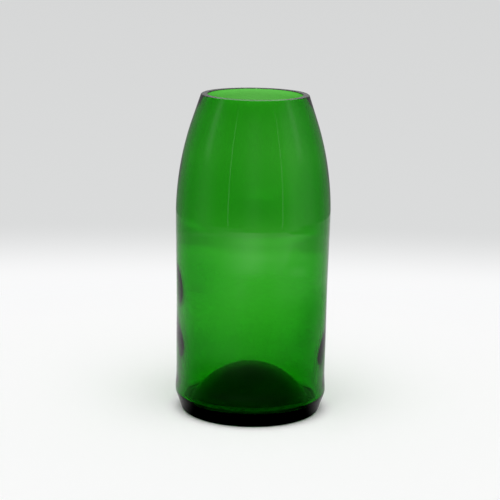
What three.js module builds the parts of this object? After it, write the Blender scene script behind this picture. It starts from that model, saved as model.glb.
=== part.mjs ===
// A green glass vase: a round bottle whose neck has been cut away, its cut edge ground flat.
// Millimetres, +Z up. The origin is the middle of the foot, on the surface that the vase stands on.
// The whole vase is one piece of glass, so it is one revolved section, from the hollow under the foot,
// out round the heel, up the outside, over the ground rim, down the inside and onto the raised floor.

import * as THREE from 'three';

const { degToRad, lerp, clamp, smoothstep } = THREE.MathUtils;

// Driving dimensions, in millimetres and degrees

const HEIGHT = 166;
const FACETS_ROUND = 72;

// The foot: a narrow flat ring, rounded on both sides, under a conical heel
const FOOT = { inner: 33.25, outer: 35.0, roundInside: 1.6, roundOutside: 1.3 };
const HEEL = { coneAngle: 19.5, coneTop: 8.8, bulgeRound: 6.5 };

// The sides above the heel: a slight waist, a label panel that widens upwards, and a small step
const WAIST = { z: 19.5, radius: 39.05 };
const PANEL = { bottom: 42, top: 66, radius: 39.25 };
const STEP = { bottom: 101, bottomRadius: 39.78 };

// The shoulder: an arc from the widest place, then a straight taper to the cut edge
const SHOULDER = { z: 104, radius: 40, arcRadius: 154, taperAngle: 18.5 };
const ARRIS = 0.35;

// The base seen in section: a hollow pushed up from below and a domed floor above it
const HOLLOW = { depth: 19, domeRadius: 37 };
const FLOOR = { apex: 23.8, domeRadius: 37, troughRadius: 3.4, troughWall: 35.2 };

// Glass thickness, measured level, at heights up the wall; the blown inside is thinnest in the panel
const WALL = [
  { z: 24, thickness: 3.75 },
  { z: 42, thickness: 3.35 },
  { z: 62, thickness: 3.0 },
  { z: 84, thickness: 2.7 },
  { z: 104, thickness: 2.95 },
  { z: 128, thickness: 3.05 },
  { z: 150, thickness: 3.15 },
  { z: 166, thickness: 3.2 },
];

// Slow waves that blowing leaves in the inside wall: depth, number round the wall, length up it, turn
const WAVES = [
  { depth: 0.22, lobes: 3, pitch: 74, turn: 25 },
  { depth: 0.16, lobes: 5, pitch: 36, turn: 70 },
];
const WAVES_START = { low: 13, full: 28 };
const WAVES_END = { full: 88, gone: 140 };

// Section outlines, as points (radius, height)

function arc(centreR, centreZ, radius, fromDegrees, toDegrees, steps) {
  const points = [];
  for (let i = 0; i <= steps; i += 1) {
    const angle = degToRad(lerp(fromDegrees, toDegrees, i / steps));
    points.push(new THREE.Vector2(centreR + radius * Math.cos(angle), centreZ + radius * Math.sin(angle)));
  }
  return points;
}

// A soft change of radius that leaves and arrives upright, without its first point
function swell(from, to, steps) {
  const points = [];
  for (let i = 1; i <= steps; i += 1) {
    const part = i / steps;
    const share = (1 - Math.cos(Math.PI * part)) / 2;
    points.push(new THREE.Vector2(lerp(from.x, to.x, share), lerp(from.y, to.y, part)));
  }
  return points;
}

// The hollow under the foot, from the axis out to where it meets the ring's inner round
function hollowOutline() {
  const centreZ = HOLLOW.depth - HOLLOW.domeRadius;
  const meets = THREE.MathUtils.radToDeg(Math.atan2(FOOT.roundInside - centreZ, FOOT.inner));
  return arc(0, centreZ, HOLLOW.domeRadius, 90, meets, 8);
}

// The ring that the vase stands on, with its two rounds
function footOutline() {
  const hollowCentreZ = HOLLOW.depth - HOLLOW.domeRadius;
  const meets = THREE.MathUtils.radToDeg(Math.atan2(FOOT.roundInside - hollowCentreZ, FOOT.inner));
  const inside = arc(FOOT.inner, FOOT.roundInside, FOOT.roundInside, 180 + meets, 270, 2).slice(1);
  const outside = arc(FOOT.outer, FOOT.roundOutside, FOOT.roundOutside, 270, 360 - HEEL.coneAngle, 2);
  return [...inside, ...outside];
}

// The conical heel and the bulge that it turns into
function heelOutline(footEnd) {
  const rise = HEEL.coneTop - footEnd.y;
  const coneEndR = footEnd.x + rise * Math.tan(degToRad(HEEL.coneAngle));
  const centreR = coneEndR - HEEL.bulgeRound * Math.cos(degToRad(HEEL.coneAngle));
  const centreZ = HEEL.coneTop + HEEL.bulgeRound * Math.sin(degToRad(HEEL.coneAngle));
  return arc(centreR, centreZ, HEEL.bulgeRound, -HEEL.coneAngle, 0, 3);
}

// The sides, from the heel's bulge to the widest place at the foot of the shoulder
function sideOutline(bulge) {
  const waist = new THREE.Vector2(WAIST.radius, WAIST.z);
  const panelBottom = new THREE.Vector2(PANEL.radius, PANEL.bottom);
  const panelTop = new THREE.Vector2(PANEL.radius, PANEL.top);
  const stepBottom = new THREE.Vector2(STEP.bottomRadius, STEP.bottom);
  const shoulder = new THREE.Vector2(SHOULDER.radius, SHOULDER.z);
  return [
    ...swell(bulge, waist, 3),
    ...swell(waist, panelBottom, 3),
    panelTop,
    ...swell(panelTop, stepBottom, 5),
    ...swell(stepBottom, shoulder, 3),
  ];
}

// The shoulder's arc, without its first point, and the straight taper to the cut edge
function shoulderOutline() {
  const centreR = SHOULDER.radius - SHOULDER.arcRadius;
  const curve = arc(centreR, SHOULDER.z, SHOULDER.arcRadius, 0, SHOULDER.taperAngle, 9).slice(1);
  const last = curve[curve.length - 1];
  const rimRadius = last.x - (HEIGHT - last.y) * Math.tan(degToRad(SHOULDER.taperAngle));
  return [...curve, new THREE.Vector2(rimRadius, HEIGHT)];
}

// The outside, from the foot ring to the sharp top corner that the rim's arris then breaks
function outsideOutline() {
  const foot = footOutline();
  const heel = heelOutline(foot[foot.length - 1]);
  const sides = sideOutline(heel[heel.length - 1]);
  return [...foot, ...heel, ...sides, ...shoulderOutline()];
}

function radiusAt(outline, z) {
  for (let i = 1; i < outline.length; i += 1) {
    const low = outline[i - 1];
    const high = outline[i];
    if (z >= low.y && z <= high.y && high.y > low.y) {
      return lerp(low.x, high.x, (z - low.y) / (high.y - low.y));
    }
  }
  return outline[outline.length - 1].x;
}

// The inside wall, from the rim down to the trough: a smooth line through the stated thicknesses
function insideOutline(outside) {
  const floorCentreZ = troughCentreZ();
  const foot = new THREE.Vector2(FLOOR.troughWall, floorCentreZ);
  const knots = WALL.map(({ z, thickness }) => new THREE.Vector2(radiusAt(outside, z) - thickness, z));
  const curve = new THREE.SplineCurve([foot, ...knots].reverse());
  return curve.getPoints(16);
}

function troughCentreZ() {
  const centreZ = FLOOR.apex - FLOOR.domeRadius;
  const centreR = FLOOR.troughWall - FLOOR.troughRadius;
  const reach = FLOOR.domeRadius + FLOOR.troughRadius;
  return centreZ + Math.sqrt(reach * reach - centreR * centreR);
}

// The round trough inside the heel and the domed floor, ending on the axis
function floorOutline() {
  const domeCentreZ = FLOOR.apex - FLOOR.domeRadius;
  const centreR = FLOOR.troughWall - FLOOR.troughRadius;
  const centreZ = troughCentreZ();
  const meets = THREE.MathUtils.radToDeg(Math.atan2(centreZ - domeCentreZ, centreR));
  const trough = arc(centreR, centreZ, FLOOR.troughRadius, 360, 180 + meets, 6).slice(1);
  const dome = arc(0, domeCentreZ, FLOOR.domeRadius, meets, 90, 8).slice(1);
  return [...trough, ...dome];
}

// The ground rim: the flat cut edge with a small arris on each side
function rimOutline(outerCorner, innerCorner) {
  const lean = Math.tan(degToRad(SHOULDER.taperAngle)) * ARRIS;
  return [
    new THREE.Vector2(outerCorner.x + lean, HEIGHT - ARRIS),
    new THREE.Vector2(outerCorner.x - ARRIS, HEIGHT),
    new THREE.Vector2(innerCorner.x + ARRIS, HEIGHT),
    new THREE.Vector2(innerCorner.x + lean, HEIGHT - ARRIS),
  ];
}

// How far the inside wall stands in towards the axis at one place, from the waves of blowing
function waveDepth(angle, z) {
  const start = smoothstep(z, WAVES_START.low, WAVES_START.full);
  const end = 1 - smoothstep(z, WAVES_END.full, WAVES_END.gone);
  let depth = 0;
  for (const wave of WAVES) {
    const round = Math.cos(wave.lobes * (angle - degToRad(wave.turn)));
    const upright = Math.cos((2 * Math.PI * z) / wave.pitch);
    depth += wave.depth * round * upright;
  }
  return depth * clamp(start * end, 0, 1);
}

// Moves the points of the inside wall, which are the ones numbered from first to last in the section
function blowInside(geometry, sectionLength, first, last) {
  const position = geometry.getAttribute('position');
  for (let i = 0; i < position.count; i += 1) {
    const place = i % sectionLength;
    if (place < first || place > last) continue;
    const x = position.getX(i);
    const y = position.getY(i);
    const radius = Math.hypot(x, y);
    const turn = (Math.floor(i / sectionLength) % FACETS_ROUND) / FACETS_ROUND;
    const scale = 1 - waveDepth(turn * 2 * Math.PI, position.getZ(i)) / radius;
    position.setXY(i, x * scale, y * scale);
  }
  geometry.computeVertexNormals();
}

function makeGlass() {
  const outside = outsideOutline();
  const outerCorner = outside.pop();
  const inside = insideOutline([...outside, outerCorner]);
  const innerCorner = inside.shift();
  const lower = [...hollowOutline(), ...outside, ...rimOutline(outerCorner, innerCorner)];
  const section = [...lower, ...inside, ...floorOutline()];
  const glass = new THREE.LatheGeometry(section, FACETS_ROUND);
  glass.rotateX(Math.PI / 2);
  blowInside(glass, section.length, lower.length, lower.length + inside.length - 2);
  return glass;
}

function glassFinish() {
  return new THREE.MeshStandardMaterial({
    color: 0x1f8a1c,
    roughness: 0.04,
    metalness: 0,
    transparent: true,
    opacity: 0.6,
  });
}

const vase = new THREE.Group();
const glassVase = new THREE.Mesh(makeGlass(), glassFinish());
glassVase.name = 'glass_vase';
vase.add(glassVase);

export default vase;
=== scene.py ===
"""A green glass vase on a pale sweep: the body of a round bottle, cut off above the shoulder and ground flat.

The glass is one revolved mesh with the height and width of the solid that it replaces. It has a shallower hollow,
a crisper edge under the shoulder and thick and thin spots in its blown wall. Its green lies in the glass itself, so
thick places are darker than thin ones.
Run as a script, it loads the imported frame, makes the glass, the stage and the camera.
"""

import math

import bmesh
import bpy
from bpy.props import FloatProperty, FloatVectorProperty, IntProperty, PointerProperty
from bpy.types import Operator, Panel, PropertyGroup
from mathutils import Matrix, Vector


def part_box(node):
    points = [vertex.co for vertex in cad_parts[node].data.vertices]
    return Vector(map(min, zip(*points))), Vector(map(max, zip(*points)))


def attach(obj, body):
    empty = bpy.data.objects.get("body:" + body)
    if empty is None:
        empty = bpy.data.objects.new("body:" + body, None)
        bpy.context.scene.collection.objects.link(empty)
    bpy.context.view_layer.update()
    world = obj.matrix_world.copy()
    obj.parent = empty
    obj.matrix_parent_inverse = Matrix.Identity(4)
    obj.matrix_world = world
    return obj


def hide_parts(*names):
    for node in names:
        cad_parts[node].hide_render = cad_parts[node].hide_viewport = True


bl_info = {
    "name": "Green Glass Vase",
    "version": (1, 0, 0),
    "blender": (4, 5, 0),
    "location": "View3D > Sidebar > Glass Vase",
    "description": "Makes a green glass vase cut from a bottle, with its stage and camera",
    "category": "Add Mesh",
}

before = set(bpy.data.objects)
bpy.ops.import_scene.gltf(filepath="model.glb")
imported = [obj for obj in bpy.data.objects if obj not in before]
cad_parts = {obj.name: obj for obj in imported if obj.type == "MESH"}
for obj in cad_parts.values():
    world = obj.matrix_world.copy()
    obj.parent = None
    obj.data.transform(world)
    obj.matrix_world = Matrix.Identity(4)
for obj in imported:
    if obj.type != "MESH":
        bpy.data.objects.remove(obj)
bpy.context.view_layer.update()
GLASS_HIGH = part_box("glass_vase")[1]
MM = 0.001

# Glass thickness, measured level, at heights up the wall, in millimetres
WALL = (
    (24, 4.0), (42, 3.4), (55, 3.05), (68, 2.95), (84, 2.9), (104, 3.1),
    (120, 3.25), (136, 2.95), (152, 3.2), (160, 3.4), (166, 3.35),
)

# Spots where blowing left the wall thicker, or thinner where the depth is negative: turn in degrees to the right of
# the front, height, depth, and how far each reaches round the wall and up it, in millimetres
SPOTS = (
    (-82, 66, 0.8, 8, 8.5),
    (-82, 35, 0.85, 9, 6.5),
    (82, 32, 0.62, 8, 7),
    (6, 101, -0.45, 26, 4),
    (6, 92, -0.45, 26, 9),
    (4, 115, 0.6, 15, 7),
    (-45, 76, 0.85, 13, 14),
    (57, 56, 0.7, 10, 12),
    (31, 135, -0.65, 9, 30),
    (-17, 128, 0.3, 9, 30),
    (-50, 40, 0.45, 12, 7),
    (48, 42, 0.6, 10, 7),
    (-52, 99, 0.4, 14, 5.5),
    (52, 97, 0.25, 12, 5),
)

# Steps along each line of the glass's section
STEPS = {
    "hollow": 40, "foot round": 10, "foot ring": 6, "heel cone": 8, "bulge": 8, "waist": 12, "panel foot": 10,
    "panel": 4, "panel bend": 8, "panel top": 20, "step": 6, "shoulder": 24, "wall": 96, "trough": 20, "floor": 40,
}
DISC_STEPS = 96

# The rim's corners have close points on both sides, which keep its faces flat. CREASE is their distance as a share of
# the arris, and CREASE_LEAN is how far the lowest one stands out as a share of that distance.
CREASE = 0.12
CREASE_LEAN = 0.3

# Where the ground face begins and is full, as shares of the arris below the rim
GROUND_FROM = 0.6
GROUND_FULL = 0.3

# A point nearer than this to the axis lies on it
ON_AXIS = 1e-7

# The camera's sensor in millimetres, and the nearest distance that it sees in metres
SENSOR_WIDTH = 36
NEAREST_SEEN = 0.01

# Height of a direction that points neither up nor down
EYE_LEVEL = 0.0


def glow(strength, **edges):
    """A soft patch of light that shines in the glass, or of painted shade where its strength is negative: its strength,
    and its two soft edges in each named measure.
    """
    return strength, edges


def peak(middle, width):
    """Edges of a patch that is brightest in the middle and gone at the width."""
    return (middle - width, middle), (middle, middle + width)


# Each edge is a pair, where it starts and where it ends, and None leaves that side open. Measures of the room:
# turn is in degrees to the right of the front, aside the same on both sides, and up in degrees above the horizon.
# The places and strengths are fitted to the reflections that the photograph shows in the glass.
LOW_ROOM = (None, (15, 35))
HIGH_ROOM = (None, (25, 45))
ROOM_GREY = 0.02
ROOM_GLOWS = (
    # The grey of the room, lighter behind the vase
    glow(0.03, up=LOW_ROOM),
    glow(0.16, up=LOW_ROOM, aside=((85, 150), None)),
    # The window wall in front, and the paler walls on the left and right
    glow(0.03, up=HIGH_ROOM, turn=((-50, -10), (30, 50))),
    glow(0.1, up=HIGH_ROOM, turn=peak(0, 20)),
    glow(0.15, up=HIGH_ROOM, turn=peak(-79, 30)),
    glow(0.25, up=HIGH_ROOM, turn=((40, 66), (85, 118))),
    # The window's two bright frames
    glow(0.65, up=HIGH_ROOM, turn=peak(-37, 1.2)),
    glow(0.65, up=HIGH_ROOM, turn=peak(44, 1.2)),
    # The soft streaks at both sides of the shoulder
    glow(0.3, up=((6, 14), None), turn=peak(-82, 11)),
    glow(0.3, up=((6, 14), None), turn=peak(80, 11)),
)

# Measures of the table: turn and aside as above, and away in metres from the axis. Inner and outer are away as well,
# shifted between the angles of STRIP_SIDES, so that the bright strip in front is narrower to the left and right.
NEAR = ((0.11, 0.18), None)
MIDDLE = ((0.255, 0.295), None)
STRIP_START = ((0.315, 0.355), None)
STRIP_END = (None, (0.495, 0.51))
GLARE = peak(0.377, 0.02)
RIGHT_END = ((80, 118), None)
LEFT_END = (None, (-118, -80))
STRIP_SIDES = (40, 62)
STRIP_INNER_SHIFT = 0.07
STRIP_OUTER_SHIFT = 0.05
# Painted reflections: the table glows with these patches of painted light, and with painted shade where a strength is
# negative
TABLE_GLOWS = (
    # The table's grey, from near the vase outwards
    glow(0.12, away=NEAR),
    glow(-0.04, away=NEAR, turn=peak(22, 25)),
    glow(0.07, away=NEAR, turn=((-105, -80), (-25, -5))),
    # From half way out to the end of the strip
    glow(0.06, away=MIDDLE, outer=STRIP_END),
    glow(0.11, away=MIDDLE, outer=STRIP_END, turn=((20, 50), (76, 100))),
    glow(0.1, away=((0.255, 0.295), (0.32, 0.34)), turn=peak(-14, 14)),
    # The bright strip in front, and the thin line in it
    glow(0.18, inner=STRIP_START, outer=STRIP_END, turn=((-50, -25), (62, 92))),
    glow(0.38, inner=STRIP_START, outer=STRIP_END, turn=peak(-3, 30)),
    glow(0.1, inner=STRIP_START, outer=STRIP_END, turn=peak(55, 14)),
    glow(0.1, away=peak(0.444, 0.01), aside=(None, (85, 110))),
    # The glare along the strip's inner edge
    glow(0.03, away=GLARE, aside=(None, (78, 100))),
    glow(0.04, away=GLARE, aside=(None, (78, 100)), turn=((-50, -10), None)),
    glow(0.13, away=GLARE, turn=peak(12, 30)),
    # The grey beside the foot, from both sides round to the back
    glow(0.08, away=(None, (0.13, 0.17)), aside=((58, 88), None)),
    glow(0.15, away=peak(0.044, 0.014), aside=((58, 88), None)),
    # Two patches on the right, one farther out than the strip and one nearer
    glow(0.2, away=((0.5, 0.52), None), turn=peak(62, 20)),
    glow(0.26, away=peak(0.34, 0.022), turn=peak(68, 26)),
    # The right and the left, from the side round to the back, which fade outwards
    glow(0.24, turn=RIGHT_END),
    glow(-0.16, turn=RIGHT_END, away=((0.08, 0.14), None)),
    glow(-0.08, turn=RIGHT_END, away=((0.19, 0.25), (0.285, 0.305))),
    glow(0.36, turn=LEFT_END),
    glow(-0.1, turn=LEFT_END, away=((0.1, 0.16), None)),
    glow(-0.26, turn=LEFT_END, away=((0.23, 0.3), None)),
)

# Painted reflection of the table behind the vase, which brightens from the sides to the middle of the back
BACK_STRENGTH = 0.4
BACK_ASIDE = (85, 165)
BACK_START = (0.04, 0.09)


def length(name, description, millimetres):
    """A size property, stated in millimetres and kept in metres."""
    return FloatProperty(
        name=name, description=description, default=millimetres * MM, subtype="DISTANCE", unit="LENGTH", precision=5
    )


def angle(name, description, degrees):
    """An angle property, stated in degrees."""
    return FloatProperty(
        name=name, description=description, default=math.radians(degrees), subtype="ANGLE", unit="ROTATION"
    )


def amount(name, description, value):
    """A plain number property."""
    return FloatProperty(name=name, description=description, default=value, subtype="FACTOR", precision=4)


def colour(name, description, value):
    """A linear colour property."""
    return FloatVectorProperty(
        name=name, description=description, default=value, size=3, subtype="COLOR", min=0.0, max=1.0
    )


class VaseSizes(PropertyGroup):
    """Sizes of the glass, whose height and widest place come from the solid that it replaces."""

    height: FloatProperty(
        name="Height", description="Height of the ground rim", default=GLASS_HIGH[2], unit="LENGTH"
    )
    shoulder_radius: FloatProperty(
        name="Shoulder radius", description="Radius at the widest place", default=GLASS_HIGH[0], unit="LENGTH"
    )
    foot_inner: length("Foot inside", "Radius where the flat foot ring begins", 33.25)
    foot_outer: length("Foot outside", "Radius where the flat foot ring ends", 35.0)
    foot_round_in: length("Inner foot round", "Round between the foot ring and the hollow", 1.6)
    foot_round_out: length("Outer foot round", "Round between the foot ring and the heel", 1.3)
    heel_angle: angle("Heel angle", "Lean of the conical heel from upright", 19.5)
    heel_top: length("Heel top", "Height where the conical heel ends", 8.8)
    bulge_round: length("Bulge round", "Round that turns the heel upright", 6.5)
    waist_z: length("Waist height", "Height of the narrow place above the heel", 19.5)
    waist_radius: length("Waist radius", "Radius of the narrow place above the heel", 39.05)
    panel_low: length("Panel foot", "Height where the label panel begins", 42)
    panel_corner: length("Panel corner", "Height where the label panel's two straight parts would meet", 62)
    panel_bend: length("Panel bend", "How far below and above that corner the panel bends", 8)
    panel_high: length("Panel top", "Height where the label panel ends", 101.7)
    panel_radius: length("Panel radius", "Radius of the label panel", 39.2)
    shoulder_z: length("Shoulder height", "Height of the widest place", 104)
    shoulder_arc: length("Shoulder arc", "Radius of the shoulder's upright arc", 154)
    taper_angle: angle("Taper angle", "Lean of the straight taper below the rim", 18.5)
    arris: length("Arris", "Width of the bevel on both edges of the ground rim", 0.35)
    hollow_depth: length("Hollow depth", "Height of the hollow pushed up under the foot", 10.5)
    floor_apex: length("Floor apex", "Height of the domed floor inside", 23.2)
    floor_dome: length("Floor dome", "Radius of the floor's dome", 37.5)
    trough_round: length("Trough round", "Round of the trough inside the heel", 3.0)
    trough_wall: length("Trough wall", "Inside radius where the trough meets the wall", 35.2)
    facets: IntProperty(
        name="Facets", description="Steps round the glass", default=360, min=48, max=720
    )


class GlassFinish(PropertyGroup):
    """Colour and polish of the glass."""

    absorbed: colour("Glass green", "Share of red, green and blue that the glass lets through", (0.1725, 0.7826, 0.0))
    density: FloatProperty(
        name="Green density", description="How fast the glass takes light away, per metre", default=713.0
    )
    ior: FloatProperty(name="Refraction", description="Index of refraction of bottle glass", default=1.52)
    polish: amount("Polish", "Roughness of the moulded and blown surfaces", 0.0)
    ground: amount("Ground rim", "Roughness that grinding adds to the rim", 0.2)
    frost: amount("Rim frost", "Share of light that the ground rim scatters", 0.12)
    frost_colour: colour("Frost colour", "Colour of the light that the ground rim scatters", (0.95, 0.95, 0.95))


class StudioSettings(PropertyGroup):
    """Camera, floor, table and light."""

    camera_place: FloatVectorProperty(
        name="Camera place", description="Where the camera stands", default=(0.0, -0.8635, 0.2719),
        size=3, subtype="TRANSLATION", unit="LENGTH",
    )
    camera_down: angle("Camera down", "How far the camera looks down", 12.24)
    camera_turn: angle("Camera turn", "How far the camera looks to the left", 0.088)
    camera_roll: angle("Camera roll", "How far the camera leans", 0.992)
    camera_lens: FloatProperty(
        name="Lens", description="Focal length on a 36 mm sensor", default=122.4, unit="CAMERA"
    )
    floor_radius: length("Floor radius", "How far the pale floor reaches", 290)
    floor_matt: length("Matt floor", "How far out the floor starts to turn into the sweep", 174)
    floor_gap: length("Floor gap", "How far the floor lies below the foot ring", 0.2)
    floor_colour: colour("Floor colour", "Colour of the pale floor", (0.965, 0.965, 0.965))
    table_radius: length("Table radius", "How far the table that shines in the glass reaches", 560)
    sweep_low: colour("Sweep foot", "Colour of the sweep where it meets the floor", (0.948, 0.95, 0.955))
    sweep_high: colour("Sweep wall", "Colour of the sweep behind the vase", (0.705, 0.712, 0.712))
    sweep_top: colour("Sweep top", "Colour of the sweep at eye level", (0.66, 0.665, 0.665))
    sweep_from: amount("Sweep foot slope", "Height of direction where the sweep begins to rise", -0.2296)
    sweep_to: amount("Sweep wall slope", "Height of direction where the sweep is a wall", -0.195)
    ceiling: colour("Ceiling", "Colour of the room above the sweep", (0.12, 0.12, 0.12))
    ceiling_from: amount("Ceiling from", "Height of direction where the ceiling begins", 0.3)
    ceiling_to: amount("Ceiling to", "Height of direction where the ceiling is full", 0.7)
    lamp_towards: FloatVectorProperty(
        name="Lamp direction", description="Where the soft light is", default=(0.0, -0.24, 0.97),
        size=3, subtype="DIRECTION",
    )
    lamp_spread: angle("Lamp spread", "Half the width of the soft light", 36)
    lamp_core: angle("Lamp core", "Half the width of its brightest part", 12.6)
    lamp_strength: FloatProperty(name="Lamp strength", description="Brightness of the soft light", default=3.3)
    fill: FloatProperty(name="Fill", description="Brightness of the light from all round", default=0.35)


class Wire:
    """A node socket on which plain arithmetic adds Math nodes."""

    def __init__(self, graph, socket):
        self.graph = graph
        self.socket = socket

    def __add__(self, other):
        return self.graph.math("ADD", self, other)

    def __radd__(self, other):
        return self.graph.math("ADD", other, self)

    def __sub__(self, other):
        return self.graph.math("SUBTRACT", self, other)

    def __rsub__(self, other):
        return self.graph.math("SUBTRACT", other, self)

    def __mul__(self, other):
        return self.graph.math("MULTIPLY", self, other)

    def __rmul__(self, other):
        return self.graph.math("MULTIPLY", other, self)


class Graph:
    """Adds nodes to one node tree."""

    def __init__(self, tree):
        self.tree = tree
        tree.nodes.clear()

    def add(self, kind, settings=None, values=None, output=0):
        """Adds a node, sets it up, fills or links its sockets, and returns one output, or a list for a tuple."""
        node = self.tree.nodes.new(kind)
        for name, value in (settings or {}).items():
            setattr(node, name, value)
        for name, value in (values or {}).items():
            socket = node.inputs[name]
            if isinstance(value, Wire):
                self.tree.links.new(value.socket, socket)
            else:
                socket.default_value = value
        if isinstance(output, tuple):
            return [Wire(self, node.outputs[name]) for name in output]
        return Wire(self, node.outputs[output]) if node.outputs else None

    def math(self, operation, first, second=None):
        """Works one or two numbers out."""
        values = {0: first} if second is None else {0: first, 1: second}
        return self.add("ShaderNodeMath", {"operation": operation}, values)

    def band(self, value, low, high, smooth=True):
        """Rises from 0 at low to 1 at high."""
        kind = "SMOOTHSTEP" if smooth else "LINEAR"
        values = {"Value": value, "From Min": low, "From Max": high}
        return self.add("ShaderNodeMapRange", {"interpolation_type": kind}, values)

    def grey(self, level):
        """A grey of one brightness."""
        return self.add("ShaderNodeCombineColor", values={"Red": level, "Green": level, "Blue": level})

    def blend(self, share, first, second):
        """Mixes two colours."""
        values = {"Factor": share, 6: first, 7: second}
        return self.add("ShaderNodeMix", {"data_type": "RGBA"}, values, 2)

    def shine(self, level, glows, measures):
        """Adds soft patches of light to a level. Each measure is a value and a function that puts edges in its unit."""
        for strength, edges in glows:
            patch = strength
            for name, (rise, fall) in edges.items():
                value, unit = measures[name]
                if rise:
                    patch = patch * self.band(value, unit(rise[0]), unit(rise[1]))
                if fall:
                    patch = patch * (1 - self.band(value, unit(fall[0]), unit(fall[1])))
            level = level + patch
        return level


def arc(centre_r, centre_z, radius, start, end, steps):
    """Points (radius, height) on an arc, between two angles in radians."""
    turns = (start + (end - start) * i / steps for i in range(steps + 1))
    return [(centre_r + radius * math.cos(a), centre_z + radius * math.sin(a)) for a in turns]


def swell(start, end, steps):
    """A soft change of radius that leaves and arrives upright, without its first point."""
    points = []
    for i in range(1, steps + 1):
        share = (1 - math.cos(math.pi * i / steps)) / 2
        points.append((start[0] + (end[0] - start[0]) * share, start[1] + (end[1] - start[1]) * i / steps))
    return points


def straight(start, end, steps):
    """A straight line, without its first point."""
    shares = (i / steps for i in range(1, steps + 1))
    return [(start[0] + (end[0] - start[0]) * s, start[1] + (end[1] - start[1]) * s) for s in shares]


def towards(start, end, distance):
    """The point at a distance from the start on the way to the end."""
    share = distance / math.dist(start, end)
    return tuple(s + (e - s) * share for s, e in zip(start, end))


def bend(start, corner, end, steps):
    """A soft curve that rounds a corner off, without its first point."""
    points = []
    for i in range(1, steps + 1):
        t = i / steps
        points.append(tuple((1 - t) ** 2 * a + 2 * t * (1 - t) * b + t**2 * c for a, b, c in zip(start, corner, end)))
    return points


def foot_lines(size):
    """The hollow under the foot, from the axis out, and the rounded ring that the vase stands on."""
    dome = (size.foot_inner**2 + size.hollow_depth**2) / (2 * size.hollow_depth) - size.foot_round_in
    dome_z = size.hollow_depth - dome
    meets = math.atan2(size.foot_round_in - dome_z, size.foot_inner)
    ring_in, ring_out = size.foot_round_in, size.foot_round_out
    down = 1.5 * math.pi
    hollow = arc(0, dome_z, dome, math.pi / 2, meets, STEPS["hollow"])
    inner = arc(size.foot_inner, ring_in, ring_in, math.pi + meets, down, STEPS["foot round"])
    outer = arc(size.foot_outer, ring_out, ring_out, down, 2 * math.pi - size.heel_angle, STEPS["foot round"])
    ring = straight(inner[-1], outer[0], STEPS["foot ring"])
    return hollow + inner[1:] + ring + outer[1:]


def side_lines(size, foot_end):
    """The outside above the foot: conical heel, bulge, waist, label panel, shoulder and taper."""
    cone_end = (foot_end[0] + (size.heel_top - foot_end[1]) * math.tan(size.heel_angle), size.heel_top)
    bulge_r = cone_end[0] - size.bulge_round * math.cos(size.heel_angle)
    bulge_z = cone_end[1] + size.bulge_round * math.sin(size.heel_angle)
    lines = straight(foot_end, cone_end, STEPS["heel cone"])
    lines += arc(bulge_r, bulge_z, size.bulge_round, -size.heel_angle, 0, STEPS["bulge"])[1:]
    lines += swell(lines[-1], (size.waist_radius, size.waist_z), STEPS["waist"])
    lines += swell(lines[-1], (size.panel_radius, size.panel_low), STEPS["panel foot"])
    corner = (size.panel_radius, size.panel_corner)
    panel_end = (size.shoulder_radius, size.panel_high)
    before = (size.panel_radius, size.panel_corner - size.panel_bend)
    after = towards(corner, panel_end, size.panel_bend)
    lines += straight(lines[-1], before, STEPS["panel"])
    lines += bend(before, corner, after, STEPS["panel bend"])
    lines += straight(after, panel_end, STEPS["panel top"])
    lines += straight(lines[-1], (size.shoulder_radius, size.shoulder_z), STEPS["step"])
    arc_r = size.shoulder_radius - size.shoulder_arc
    lines += arc(arc_r, size.shoulder_z, size.shoulder_arc, 0, size.taper_angle, STEPS["shoulder"])[1:]
    last = lines[-1]
    corner = (last[0] - (size.height - last[1]) * math.tan(size.taper_angle), size.height)
    return lines, corner


def radius_at(lines, z):
    """Radius of an outline at one height."""
    for low, high in zip(lines, lines[1:]):
        if low[1] <= z <= high[1] and high[1] > low[1]:
            return low[0] + (high[0] - low[0]) * (z - low[1]) / (high[1] - low[1])
    return lines[-1][0]


def smooth_through(knots, steps):
    """Points on a smooth curve through knots, in equal steps from knot to knot."""
    last = len(knots) - 1
    points = []
    for i in range(steps + 1):
        place = last * i / steps
        k = min(int(place), last - 1)
        t = place - k
        around = [knots[max(k - 1, 0)], knots[k], knots[k + 1], knots[min(k + 2, last)]]
        point = []
        for a, b, c, d in zip(*around):
            slope_b = (c - a) / 2
            slope_c = (d - b) / 2
            cubic = (2 * b - 2 * c + slope_b + slope_c) * t**3
            square = (3 * c - 3 * b - 2 * slope_b - slope_c) * t**2
            point.append(cubic + square + slope_b * t + b)
        points.append(tuple(point))
    return points


def trough_place(size):
    """Centre of the trough's round, which touches the wall and the floor's dome, and height of the dome's centre."""
    centre_r = size.trough_wall - size.trough_round
    reach = size.floor_dome + size.trough_round
    dome_z = size.floor_apex - size.floor_dome
    return centre_r, dome_z + math.sqrt(reach**2 - centre_r**2), dome_z


def wall_lines(size, outside):
    """The inside wall, from the rim down to the trough."""
    knots = [(size.trough_wall, trough_place(size)[1])]
    knots += [(radius_at(outside, z * MM) - thick * MM, z * MM) for z, thick in WALL]
    return smooth_through(knots[::-1], STEPS["wall"])


def floor_lines(size):
    """The round trough inside the heel and the domed floor, ending on the axis."""
    centre_r, centre_z, dome_z = trough_place(size)
    meets = math.atan2(centre_z - dome_z, centre_r)
    trough = arc(centre_r, centre_z, size.trough_round, 2 * math.pi, math.pi + meets, STEPS["trough"])[1:]
    dome = arc(0, dome_z, size.floor_dome, meets, math.pi / 2, STEPS["floor"])[1:]
    return trough + dome


def rim_lines(size, outer, inner):
    """The ground rim, with an arris on both sides and close points that keep its faces flat."""
    lean = math.tan(size.taper_angle) * size.arris
    low = size.height - size.arris
    close = CREASE * size.arris
    corners = [(outer[0] + lean, low), (outer[0] - size.arris, size.height)]
    corners += [(inner[0] + size.arris, size.height), (inner[0] + lean, low)]
    lines = [(corners[0][0] + close * CREASE_LEAN, low - close)]
    for start, end in zip(corners, corners[1:]):
        lines += [towards(start, end, close), towards(end, start, close)]
    return lines


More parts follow.
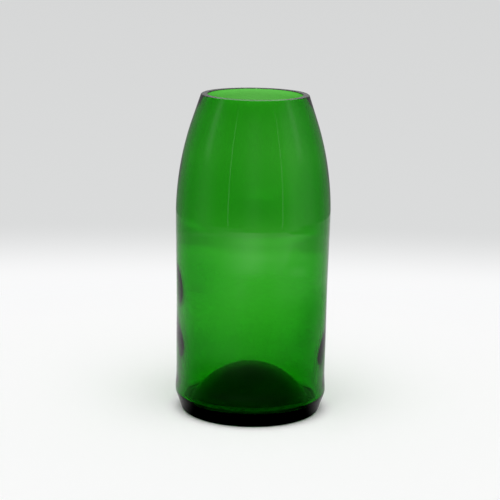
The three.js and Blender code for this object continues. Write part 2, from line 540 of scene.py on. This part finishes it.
def spot_depth(turn, z, radius):
    """How far the thick spots stand in towards the axis at one angle and height, in metres."""
    depth = 0.0
    for spot_turn, spot_z, thick, width, reach in SPOTS:
        away = (turn - math.radians(spot_turn) + math.pi) % (2 * math.pi) - math.pi
        round_wall = away * radius / (width * MM)
        up_wall = (z / MM - spot_z) / reach
        depth += thick * math.exp(-(round_wall**2) - up_wall**2)
    return depth * MM


def revolve(lines, steps, inside):
    """A closed mesh from an outline that starts and ends on the axis; inside tells which points have thick spots."""
    mesh = bmesh.new()
    rings = []
    for number, (radius, z) in enumerate(lines):
        if radius < ON_AXIS:
            rings.append([mesh.verts.new((0, 0, z))])
            continue
        ring = []
        for i in range(steps):
            # Angles are counted from the front, -Y, round by +X
            turn = 2 * math.pi * i / steps
            reach = radius - (spot_depth(turn, z, radius) if number in inside else 0.0)
            ring.append(mesh.verts.new((reach * math.sin(turn), -reach * math.cos(turn), z)))
        rings.append(ring)
    for low, high in zip(rings, rings[1:]):
        for i in range(steps):
            j = (i + 1) % steps
            around = [low[i % len(low)], low[j % len(low)], high[j % len(high)], high[i % len(high)]]
            corners = list(dict.fromkeys(around))
            mesh.faces.new(corners)
    bmesh.ops.recalc_face_normals(mesh, faces=mesh.faces)
    for face in mesh.faces:
        face.smooth = True
    return mesh


def new_graph(name):
    """A new material and the graph of its nodes."""
    material = bpy.data.materials.new(name)
    material.use_nodes = True
    return material, Graph(material.node_tree)


def glass_material(finish, size):
    """Clear glass with its green in the glass itself, and a ground rim."""
    material, graph = new_graph("green_bottle_glass")
    place = graph.add("ShaderNodeTexCoord", output="Object")
    height = graph.add("ShaderNodeSeparateXYZ", values={0: place}, output="Z")
    rim = graph.band(height, size.height - GROUND_FROM * size.arris, size.height - GROUND_FULL * size.arris)
    clear = graph.add(
        "ShaderNodeBsdfPrincipled",
        values={
            "Base Color": (1, 1, 1, 1),
            "Roughness": rim * finish.ground + finish.polish,
            "IOR": finish.ior,
            "Transmission Weight": 1.0,
        },
    )
    frost = graph.add("ShaderNodeBsdfDiffuse", values={"Color": (*finish.frost_colour, 1)})
    surface = graph.add("ShaderNodeMixShader", values={0: rim * finish.frost, 1: clear, 2: frost})
    inside = graph.add(
        "ShaderNodeVolumeAbsorption", values={"Color": (*finish.absorbed, 1), "Density": finish.density}
    )
    graph.add("ShaderNodeOutputMaterial", values={"Surface": surface, "Volume": inside})
    return material


class VASE_OT_glass(Operator):
    """Make the vase's glass"""

    bl_idname = "vase.glass"
    bl_label = "Make Glass"
    bl_options = {"UNDO"}

    def execute(self, context):
        size = context.scene.vase_sizes
        foot = foot_lines(size)
        side, outer = side_lines(size, foot[-1])
        wall = wall_lines(size, foot + side + [outer])
        below = foot + side + rim_lines(size, outer, wall[0])
        lines = below + wall[1:] + floor_lines(size)
        blown = range(len(below), len(below) + len(wall) - 2)
        built = revolve(lines, size.facets, blown)
        mesh = bpy.data.meshes.new("vase_glass")
        built.to_mesh(mesh)
        built.free()
        mesh.materials.append(glass_material(context.scene.vase_glass, size))
        glass = bpy.data.objects.new("vase_glass", mesh)
        context.collection.objects.link(glass)
        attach(glass, "root")
        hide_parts("glass_vase")
        return {"FINISHED"}


def floor_material(studio):
    """Matt floor that turns, for the camera and the clear glass, into the sweep's own pale colour."""
    material, graph = new_graph("pale_floor")
    place = graph.add("ShaderNodeTexCoord", output="Object")
    side, ahead = graph.add("ShaderNodeSeparateXYZ", values={0: place}, output=("X", "Y"))
    away = graph.math("SQRT", side * side + ahead * ahead)
    edge = graph.band(away, studio.floor_matt, studio.floor_radius)
    matt = graph.add("ShaderNodeBsdfDiffuse", values={"Color": (*studio.floor_colour, 1)})
    pale = graph.add("ShaderNodeEmission", values={"Color": (*studio.sweep_low, 1), "Strength": 1.0})
    rays = graph.add("ShaderNodeLightPath", output=("Is Camera Ray", "Is Transmission Ray"))
    surface = graph.add("ShaderNodeMixShader", values={0: edge * graph.math("MAXIMUM", *rays), 1: matt, 2: pale})
    graph.add("ShaderNodeOutputMaterial", values={"Surface": surface})
    return material


def table_material(studio):
    """A table top that only the shine of the glass shows, glowing with painted reflections: pale strips and patches of
    painted light round the vase, and darker painted shade.
    """
    material, graph = new_graph("table_shine")
    place = graph.add("ShaderNodeTexCoord", output="Object")
    side, ahead = graph.add("ShaderNodeSeparateXYZ", values={0: place}, output=("X", "Y"))
    turn = graph.math("ARCTAN2", side, 0 - ahead)
    aside = graph.math("ABSOLUTE", turn)
    away = graph.math("SQRT", side * side + ahead * ahead)
    narrow = graph.band(aside, *map(math.radians, STRIP_SIDES))
    measures = {
        "turn": (turn, math.radians),
        "aside": (aside, math.radians),
        "away": (away, float),
        "inner": (away - narrow * STRIP_INNER_SHIFT, float),
        "outer": (away + narrow * STRIP_OUTER_SHIFT, float),
    }
    behind = graph.band(aside, *map(math.radians, BACK_ASIDE), smooth=False)
    back = graph.band(away, *BACK_START) * behind * behind * BACK_STRENGTH
    # The level is painted light and shade, which only the glass's reflections show
    level = graph.shine(back, TABLE_GLOWS, measures)
    shown = graph.add("ShaderNodeEmission", values={"Color": graph.grey(level), "Strength": 1.0})
    clear = graph.add("ShaderNodeBsdfTransparent", values={"Color": (1, 1, 1, 1)})
    through = graph.add("ShaderNodeLightPath", output="Is Transmission Ray")
    surface = graph.add("ShaderNodeMixShader", values={0: through, 1: shown, 2: clear})
    graph.add("ShaderNodeOutputMaterial", values={"Surface": surface})
    return material


def sweep_colours(graph, studio, rise):
    """The sweep: floor white at the bottom, a soft bend, a wall that darkens slowly upwards, and the ceiling."""
    wall = graph.band(rise, studio.sweep_from, studio.sweep_to)
    top = graph.band(rise, studio.sweep_to, EYE_LEVEL, smooth=False)
    dusk = graph.band(rise, studio.ceiling_from, studio.ceiling_to)
    low_part = graph.blend(wall, (*studio.sweep_low, 1), (*studio.sweep_high, 1))
    wall_part = graph.blend(top, low_part, (*studio.sweep_top, 1))
    return graph.blend(dusk, wall_part, (*studio.ceiling, 1))


def sine(degrees):
    """Height of a direction that points up by an angle."""
    return math.sin(math.radians(degrees))


def light_world(studio):
    """Soft light on matt things, a pale sweep for the camera and the clear glass, and a dim room for its shine."""
    world = bpy.data.worlds.new("pale_sweep")
    world.use_nodes = True
    graph = Graph(world.node_tree)
    direction = graph.add("ShaderNodeTexCoord", output="Generated")
    side, ahead, rise = graph.add("ShaderNodeSeparateXYZ", values={0: direction}, output=("X", "Y", "Z"))
    camera, glossy, through, bounced = graph.add(
        "ShaderNodeLightPath", output=("Is Camera Ray", "Is Glossy Ray", "Is Transmission Ray", "Diffuse Depth")
    )
    sweep = sweep_colours(graph, studio, rise)

    turn = graph.math("ARCTAN2", side, 0 - ahead)
    measures = {
        "turn": (turn, math.radians),
        "aside": (graph.math("ABSOLUTE", turn), math.radians),
        "up": (rise, sine),
    }
    room = graph.grey(graph.shine(ROOM_GREY, ROOM_GLOWS, measures))

    # Soft light from above and a little in front
    lamp_side, lamp_ahead, lamp_rise = studio.lamp_towards
    near = side * lamp_side + ahead * lamp_ahead + rise * lamp_rise
    lamp = graph.band(near, math.cos(studio.lamp_spread), math.cos(studio.lamp_core))
    light = graph.grey(studio.fill + lamp * studio.lamp_strength)

    # Rays that have met a matt surface see this soft light alone, so the sweep and the room light nothing matt
    direct = 1 - graph.math("MINIMUM", bounced, 1.0)
    shine = graph.blend(glossy * direct, light, room)
    shown = graph.blend(graph.math("MAXIMUM", camera, through) * direct, shine, sweep)
    background = graph.add("ShaderNodeBackground", values={"Color": shown, "Strength": 1.0})
    graph.add("ShaderNodeOutputWorld", values={"Surface": background})
    return world


def stage_disc(name, radius, material, depth):
    """A flat disc of the stage, at a depth below the foot ring."""
    disc = bmesh.new()
    bmesh.ops.create_circle(disc, cap_ends=True, radius=radius, segments=DISC_STEPS)
    mesh = bpy.data.meshes.new(name)
    disc.to_mesh(mesh)
    disc.free()
    mesh.materials.append(material)
    piece = bpy.data.objects.new(name, mesh)
    piece.location.z = -depth
    return piece


def place_camera(scene, studio):
    """Sets the camera at the photograph's viewing angle."""
    down, turn, roll = studio.camera_down, studio.camera_turn, studio.camera_roll
    ahead = Vector((-math.sin(turn) * math.cos(down), math.cos(turn) * math.cos(down), -math.sin(down)))
    right = Vector((math.cos(turn), math.sin(turn), 0))
    up = right.cross(ahead)
    leaned_right = math.cos(roll) * right + math.sin(roll) * up
    leaned_up = math.cos(roll) * up - math.sin(roll) * right
    data = bpy.data.cameras.new("camera")
    data.sensor_width = SENSOR_WIDTH
    data.lens = studio.camera_lens
    data.clip_start = NEAREST_SEEN
    camera = bpy.data.objects.new("camera", data)
    axes = Matrix((leaned_right, leaned_up, -ahead)).transposed().to_4x4()
    camera.matrix_world = Matrix.Translation(studio.camera_place) @ axes
    scene.collection.objects.link(camera)
    scene.camera = camera


class VASE_OT_stage(Operator):
    """Make the floor, the light and the camera"""

    bl_idname = "vase.stage"
    bl_label = "Make Stage"
    bl_options = {"UNDO"}

    def execute(self, context):
        studio = context.scene.vase_studio
        floor = stage_disc("floor", studio.floor_radius, floor_material(studio), studio.floor_gap)
        floor.visible_glossy = False
        context.collection.objects.link(floor)
        # The table lies as far below the floor as the floor lies below the foot ring
        table = stage_disc("table_shine", studio.table_radius, table_material(studio), 2 * studio.floor_gap)
        table.visible_camera = table.visible_diffuse = table.visible_shadow = False
        table.visible_transmission = False
        context.collection.objects.link(table)
        context.scene.world = light_world(studio)
        context.scene.cycles.blur_glossy = 0.0
        context.scene.view_settings.view_transform = "Standard"
        place_camera(context.scene, studio)
        return {"FINISHED"}


class VASE_PT_panel(Panel):
    """Shows the vase's buttons and settings"""

    bl_idname = "VASE_PT_panel"
    bl_label = "Glass Vase"
    bl_space_type = "VIEW_3D"
    bl_region_type = "UI"
    bl_category = "Glass Vase"

    def draw(self, context):
        column = self.layout.column()
        for operator in OPERATORS:
            column.operator(operator.bl_idname)
        for group in GROUPS:
            settings = getattr(context.scene, group)
            for name in GROUPS[group].__annotations__:
                column.prop(settings, name)


GROUPS = {"vase_sizes": VaseSizes, "vase_glass": GlassFinish, "vase_studio": StudioSettings}
OPERATORS = (VASE_OT_glass, VASE_OT_stage)


def register():
    for cls in (*GROUPS.values(), *OPERATORS, VASE_PT_panel):
        bpy.utils.register_class(cls)
    for name, group in GROUPS.items():
        setattr(bpy.types.Scene, name, PointerProperty(type=group))


def unregister():
    for name in GROUPS:
        delattr(bpy.types.Scene, name)
    for cls in (VASE_PT_panel, *reversed(OPERATORS), *reversed(GROUPS.values())):
        bpy.utils.unregister_class(cls)


def main():
    register()
    bpy.ops.vase.stage()
    bpy.ops.vase.glass()


if __name__ == "__main__":
    main()
